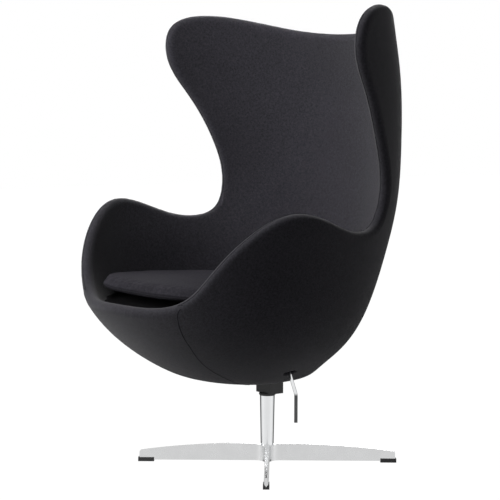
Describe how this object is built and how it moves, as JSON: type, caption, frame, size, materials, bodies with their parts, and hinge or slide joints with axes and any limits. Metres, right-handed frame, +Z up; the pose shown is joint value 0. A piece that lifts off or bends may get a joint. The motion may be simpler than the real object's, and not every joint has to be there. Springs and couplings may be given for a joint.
{
  "type": "pod chair",
  "caption": "Padded egg-shaped lounge chair: one upholstered shell with ears and low arms, loose seat cushion, tilting swivel column and star base.",
  "frame": {"origin": "on the floor, on the swivel axis of the column", "axes": "+Z up, the sitter looks along -Y, +X is the sitter's left, where the lever is"},
  "size_m": [0.8004, 0.7592, 1.1016],
  "materials": {
    "polished_aluminium": "polished cast",
    "glide_plastic": "matte",
    "chrome": "mirror",
    "plain_steel": "satin",
    "bush_plastic": "smooth",
    "black_paint": "satin powder coat",
    "rubber": "matte",
    "moulded_core": "glass fibre reinforced",
    "upholstery": "dense felted wool weave",
    "deck_fabric": "dense felted wool weave",
    "foam": "open cell foam"
  },
  "bodies": {
    "base": {"star_base": "polished_aluminium", "glide_1": "glide_plastic", "glide_2": "glide_plastic", "glide_3": "glide_plastic", "glide_4": "glide_plastic", "column_tube": "chrome", "base_washer": "plain_steel", "base_nut": "plain_steel", "lower_bush": "bush_plastic", "upper_bush": "bush_plastic"},
    "swivel": {"spindle": "plain_steel", "spindle_clip": "plain_steel", "swivel_bracket": "black_paint", "tilt_pivot_pin": "plain_steel", "pivot_clip_left": "plain_steel", "pivot_clip_right": "plain_steel", "torsion_sleeve": "rubber", "front_stop_pad": "rubber", "rear_stop_pad": "rubber"},
    "seat_shell": {"shell_core": "moulded_core", "inner_upholstery": "upholstery", "outer_upholstery": "upholstery", "seat_deck": "deck_fabric", "tilt_plate": "black_paint", "plate_bolt_1": "plain_steel", "plate_bolt_2": "plain_steel", "plate_bolt_3": "plain_steel", "plate_bolt_4": "plain_steel", "lever_bush_1": "bush_plastic", "lever_bush_2": "bush_plastic", "lever_bush_3": "bush_plastic"},
    "lever": {"lever_rod": "chrome", "lock_cam": "plain_steel", "cam_screw": "plain_steel"},
    "cushion": {"cushion_cover": "upholstery", "cushion_foam": "foam"}
  },
  "joints": [
    {"name": "swivel", "type": "hinge", "parent": "base", "child": "swivel", "pos_m": [0, 0, 0.167], "axis": [0, 0, 1], "continuous": true},
    {"name": "tilt", "type": "hinge", "parent": "swivel", "child": "seat_shell", "pos_m": [0, 0.006, 0.264], "axis": [-1, 0, 0], "range_deg": [0, 12], "stiffness_Nm_per_rad": 180, "springref_deg": -6.88},
    {"name": "lever_swing", "type": "hinge", "parent": "seat_shell", "child": "lever", "pos_m": [0, -0.083, 0.288], "axis": [1, 0, 0], "range_deg": [0, 20]},
    {"name": "cushion_lift", "type": "slide", "parent": "seat_shell", "child": "cushion", "axis": [0, 0, 1], "range_m": [0, 0.12]}
  ]
}
